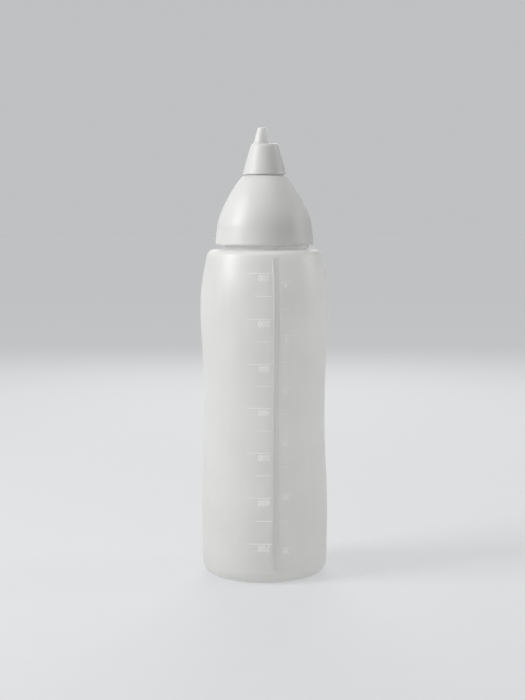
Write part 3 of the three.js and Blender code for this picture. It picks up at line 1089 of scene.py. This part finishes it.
# %% Node group: handling
hand_tree, hand_in, hand_out = new_group(
    "handling",
    [
        ("Roughness", "NodeSocketFloat", 0.35),
        ("Patches", "NodeSocketFloat", 0.1),
        ("Scuffs", "NodeSocketFloat", 0.12),
        ("Foot Below", "NodeSocketFloat", 0.0),
    ],
    [("Roughness", "NodeSocketFloat")],
)
place = put(hand_tree, "ShaderNodeTexCoord").outputs["Object"]
patches = put(hand_tree, "ShaderNodeTexNoise", Vector=place, Scale=55.0, Detail=3.0)
slanted = put(
    hand_tree, "ShaderNodeMapping", Vector=place, Rotation=(0.5, 0.3, 0.0), Scale=(1, 1, 0.06)
)
scuffs = put(
    hand_tree, "ShaderNodeTexNoise", Vector=slanted.outputs[0], Scale=1400.0, Detail=2.0
)
fine_scuffs = put(
    hand_tree, "ShaderNodeMapRange", Value=scuffs.outputs["Fac"],
    From_Min=0.62, From_Max=0.72, To_Min=0.0, To_Max=hand_in.outputs["Scuffs"],
)
height = put(hand_tree, "ShaderNodeSeparateXYZ", Vector=place).outputs["Z"]
foot = put(
    hand_tree, "ShaderNodeMapRange", Value=height,
    From_Min=hand_in.outputs["Foot Below"], From_Max=-0.0005, To_Min=0.0, To_Max=0.3,
)
patched = calculate(
    hand_tree, "MULTIPLY_ADD",
    calculate(hand_tree, "SUBTRACT", patches.outputs["Fac"], 0.5),
    hand_in.outputs["Patches"], hand_in.outputs["Roughness"],
)
scuffed = calculate(hand_tree, "ADD", patched, fine_scuffs.outputs[0])
rubbed = calculate(hand_tree, "ADD", scuffed, foot.outputs[0], clamp=True)
hand_tree.links.new(rubbed, hand_out.inputs["Roughness"])
print("node group:", hand_tree.name)

# %% [markdown]
# One function puts the groups and the two shaders together. What differs from plastic to plastic
# is its tone, its gloss, and how much light it lets through. The inner tone is a little lighter
# than the skin, because light is scattered many times inside the wall. The gloss of the blown
# wall is set strong, because the reflecting shader is only a third of its mix.

# %% Make a milky material
INNER_LIFT = 1.08
INNER_MOST = 0.95


def use_group(tree, group, **values):
    node = put(tree, "ShaderNodeGroup", {"node_tree": group})
    for name, value in values.items():
        node.inputs[name.replace("_", " ")].default_value = value
    return node


def milky(name, colour, through, tone, skin, handling, **principled):
    material = bpy.data.materials.new(name)
    material.use_nodes = True
    tree = material.node_tree
    tree.nodes.clear()
    toned = use_group(tree, tone_tree, Color=(*colour, 1), **tone)
    skinned = use_group(tree, skin_tree, **skin)
    handled = use_group(tree, hand_tree, **handling)
    reflecting = put(
        tree, "ShaderNodeBsdfPrincipled",
        Base_Color=toned.outputs["Color"],
        Roughness=handled.outputs["Roughness"],
        Normal=skinned.outputs["Normal"],
        **principled,
    )
    inner = [min(INNER_MOST, value * INNER_LIFT) for value in colour]
    inner_tone = use_group(tree, tone_tree, Color=(*inner, 1), **tone)
    letting_through = put(tree, "ShaderNodeBsdfTranslucent", Color=inner_tone.outputs["Color"])
    mixed = put(
        tree, "ShaderNodeMixShader",
        _0=through, _1=reflecting.outputs[0], _2=letting_through.outputs[0],
    )
    put(tree, "ShaderNodeOutputMaterial", Surface=mixed.outputs[0])
    print("material:", name)
    return material


# %% [markdown]
# The raised marks are thicker than the wall round them, but at their real height they would hardly
# show. So their plastic is painted whiter and has a faint glow: a painted highlight on their
# strokes.

# %% The six plastics
blown = milky(
    "natural polyethylene, blown", (0.885, 0.882, 0.872), 0.66,
    tone={"Clouds": 0.07, "Streaks": 0.03},
    skin={"Grain": 0.25, "Waves": 0.1, "Wave_Size": 110.0},
    handling={"Roughness": 0.38, "Patches": 0.1, "Scuffs": 0.1, "Foot_Below": 0.0012},
    IOR=1.7, Specular_IOR_Level=1.0,
)
# painted highlight: the raised marks get a whiter colour than the wall and a faint emitted glow
marks_painted_bright = milky(
    "natural polyethylene, raised marks", (0.97, 0.97, 0.96), 0.3,
    tone={"Clouds": 0.03, "Streaks": 0.0},
    skin={"Grain": 0.2, "Waves": 0.0, "Wave_Size": 110.0},
    handling={"Roughness": 0.66, "Patches": 0.08, "Scuffs": 0.05},
    IOR=2.0, Specular_IOR_Level=1.0,
    # painted highlight: this glow makes the strokes look lit, though they are no lamp
    Emission_Color=(1, 1, 1, 1), Emission_Strength=0.13,
)
moulded_lid = milky(
    "natural polyethylene, lid", (0.885, 0.882, 0.872), 0.44,
    tone={"Clouds": 0.04, "Streaks": 0.01},
    skin={"Grain": 0.2, "Waves": 0.06, "Wave_Size": 160.0},
    handling={"Roughness": 0.42, "Patches": 0.08, "Scuffs": 0.1},
    IOR=1.6, Specular_IOR_Level=0.8,
)
moulded_cap = milky(
    "natural polyethylene, cap", (0.87, 0.868, 0.856), 0.32,
    tone={"Clouds": 0.04, "Streaks": 0.01},
    skin={"Grain": 0.22, "Waves": 0.05, "Wave_Size": 200.0},
    handling={"Roughness": 0.4, "Patches": 0.1, "Scuffs": 0.12},
    IOR=1.51, Specular_IOR_Level=0.5,
)
silicone = milky(
    "clear silicone", (0.78, 0.81, 0.81), 0.45,
    tone={"Clouds": 0.03, "Streaks": 0.0},
    skin={"Grain": 0.1, "Waves": 0.04, "Wave_Size": 300.0},
    handling={"Roughness": 0.28, "Patches": 0.1, "Scuffs": 0.04},
    IOR=1.41, Specular_IOR_Level=0.5,
)
soft_foam = milky(
    "white elastomer", (0.86, 0.86, 0.84), 0.05,
    tone={"Clouds": 0.05, "Streaks": 0.0},
    skin={"Grain": 0.6, "Waves": 0.1, "Wave_Size": 900.0},
    handling={"Roughness": 0.62, "Patches": 0.1, "Scuffs": 0.03},
    IOR=1.48, Specular_IOR_Level=0.35,
)

# %% [markdown]
# ## What each piece is, rides on and stands for
# Every piece gets its plastic, the body that carries it, and the solid that it stands for, which
# is hidden. The table also lists the finish it belongs to, which is not used. The film only gets
# its plastic. The film gets two bodies, and bends between them.

# %% Dress the pieces
PIECES = [
    (bottle, blown, "bottle", "bottle_plastic", "bottle"),
    (front_seam, blown, "bottle", "bottle_plastic", None),
    (back_seam, blown, "bottle", "bottle_plastic", None),
    (base_seam, blown, "bottle", "bottle_plastic", None),
    (graduation_lines, marks_painted_bright, "bottle", "bottle_plastic", None),
    (graduation_numbers, marks_painted_bright, "bottle", "bottle_plastic", None),
    (seal, soft_foam, "lid_seal", "seal_foam", "lid_seal_ring"),
    (lid, moulded_lid, "lid", "lid_plastic", "screw_lid"),
    (valve, silicone, "lid", "valve_silicone", "anti_drip_valve"),
    (retainer, moulded_lid, "lid", "lid_plastic", "valve_retainer"),
    (cap, moulded_cap, "cap", "cap_plastic", "tip_cap"),
]
for piece, material, body, slot, node in PIECES:
    piece.data.materials.clear()
    piece.data.materials.append(material)
    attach(piece, body)
    if node:
        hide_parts(node)
hinge_film.data.materials.append(moulded_cap)
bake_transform(hinge_film)
print("pieces:", len(PIECES) + 1)

# %% [markdown]
# ## The studio
#
# The floor is one large pale sheet. A studio floor is often brighter than the light on the object
# alone would make it, so where the camera sees the sheet, also in gloss or through clear plastic,
# part of its brightness is a glow, and the rest is light that still shows the bottle's shadow. The
# sky has the same tone there, so no horizon shows. For all other rays the floor is plain and pale,
# and the sky is a weak even light.

# %% Floor and world
FLOOR_TONE = (0.76, 0.77, 0.78)
SEEN_FLOOR_TONE = (0.3, 0.304, 0.308)
SEEN_GLOW = 0.57
WORLD_LIGHT = 0.24
BACKDROP_MATCH = 1.035
FLOOR_HALF_WIDTH = 12
SPECKLE = 0.03


def seen_directly(tree):
    """1 for what the camera sees, also through gloss or clear plastic, and 0 for other light."""
    ray = put(tree, "ShaderNodeLightPath")
    seen = ray.outputs["Is Camera Ray"]
    for kind in ("Is Glossy Ray", "Is Transmission Ray"):
        seen = calculate(tree, "MAXIMUM", seen, ray.outputs[kind])
    return seen


floor_mesh = bmesh.new()
bmesh.ops.create_grid(floor_mesh, x_segments=2, y_segments=2, size=FLOOR_HALF_WIDTH)
floor = finished("floor", floor_mesh)
floor_paint = bpy.data.materials.new("pale floor")
floor_paint.use_nodes = True
floor_tree = floor_paint.node_tree
paint = floor_tree.nodes["Principled BSDF"]
floor_seen = seen_directly(floor_tree)
place = put(floor_tree, "ShaderNodeTexCoord").outputs["Object"]
speckle = put(floor_tree, "ShaderNodeTexNoise", Vector=place, Scale=40.0, Detail=3.0)
base = put(
    floor_tree, "ShaderNodeMix", {"data_type": "RGBA"}, _0=floor_seen,
    _6=(*FLOOR_TONE, 1), _7=(*SEEN_FLOOR_TONE, 1),
)
tint = put(
    floor_tree, "ShaderNodeVectorMath", {"operation": "SCALE"},
    _0=base.outputs[2], Scale=around_one(floor_tree, speckle.outputs["Fac"], SPECKLE),
)
glow = calculate(floor_tree, "MULTIPLY", floor_seen, SEEN_GLOW)
floor_tree.links.new(tint.outputs[0], paint.inputs["Base Color"])
floor_tree.links.new(glow, paint.inputs["Emission Strength"])
paint.inputs["Emission Color"].default_value = (*FLOOR_TONE, 1)
paint.inputs["Roughness"].default_value = 0.9
paint.inputs["Specular IOR Level"].default_value = 0.1
floor.data.materials.append(floor_paint)

world = bpy.data.worlds.new("studio")
bpy.context.scene.world = world
world.use_nodes = True
sky = world.node_tree
sky.nodes.clear()
fill = put(sky, "ShaderNodeBackground", Color=(1, 1, 1, 1), Strength=WORLD_LIGHT)
far_floor = [
    (glow_tone * SEEN_GLOW + tone * WORLD_LIGHT) * BACKDROP_MATCH
    for glow_tone, tone in zip(FLOOR_TONE, SEEN_FLOOR_TONE)
]
backdrop = put(sky, "ShaderNodeBackground", Color=(*far_floor, 1), Strength=1.0)
chosen = put(
    sky, "ShaderNodeMixShader", _0=seen_directly(sky), _1=fill.outputs[0], _2=backdrop.outputs[0]
)
put(sky, "ShaderNodeOutputWorld", Surface=chosen.outputs[0])

# %% [markdown]
# A soft box is an area lamp. It is placed by its angle round the bottle, its distance and its
# height, and it faces the middle of the bottle. The key, high on the left, gives the long
# highlight. A weak one on the right lifts the other side, one above lights shoulder and lid, and
# one behind shines through the milky walls. Their powers were fitted to the brightness of the
# picture, with one lamp lit at a time, and then tuned.

# %% Soft boxes
LAMP_AIM = 0.14
SOFT_BOXES = [
    ("key", -72, 0.92, 0.66, (0.5, 0.6), 8.4),
    ("fill", 98, 1.0, 0.46, (0.4, 0.4), 1.7),
    ("top", 0, 0.1, 1.14, (0.6, 0.6), 1.9),
    ("back", 180, 1.04, 0.74, (0.6, 0.6), 5.0),
]


def soft_box(name, angle_degrees, distance, height, size, power):
    lamp = bpy.data.lights.new(name, "AREA")
    lamp.shape, lamp.size, lamp.size_y, lamp.energy = "RECTANGLE", *size, power
    holder = add_object(name, lamp)
    angle = math.radians(angle_degrees)
    holder.location = (math.sin(angle) * distance, -math.cos(angle) * distance, height)
    facing = Vector((0, 0, LAMP_AIM)) - holder.location
    holder.rotation_euler = facing.to_track_quat("-Z", "Y").to_euler()
    print(f"{name}: {power} W")


for settings in SOFT_BOXES:
    soft_box(*settings)

# %% [markdown]
# ## The camera
#
# The picture was taken from a little above the middle of the bottle, looking slightly down. The
# height and the tilt were fitted to the curves of the base, the shoulder, the lid's rim and the
# groove under the cap.

# %% Camera
CAMERA_SIDE = -0.00117
CAMERA_PLACE = (CAMERA_SIDE, -0.860, 0.212)
CAMERA_AIM = (CAMERA_SIDE, 0, 0.1313)
SENSOR_HEIGHT = 36
FOCAL_LENGTH = 75.7

camera_data = bpy.data.cameras.new("camera")
camera_data.sensor_fit = "VERTICAL"
camera_data.sensor_height = SENSOR_HEIGHT
camera_data.lens = FOCAL_LENGTH
camera = add_object("camera", camera_data)
camera.location = CAMERA_PLACE
facing = Vector(CAMERA_AIM) - camera.location
camera.rotation_euler = facing.to_track_quat("-Z", "Y").to_euler()
bpy.context.scene.camera = camera
bpy.context.scene.view_settings.view_transform = "Standard"
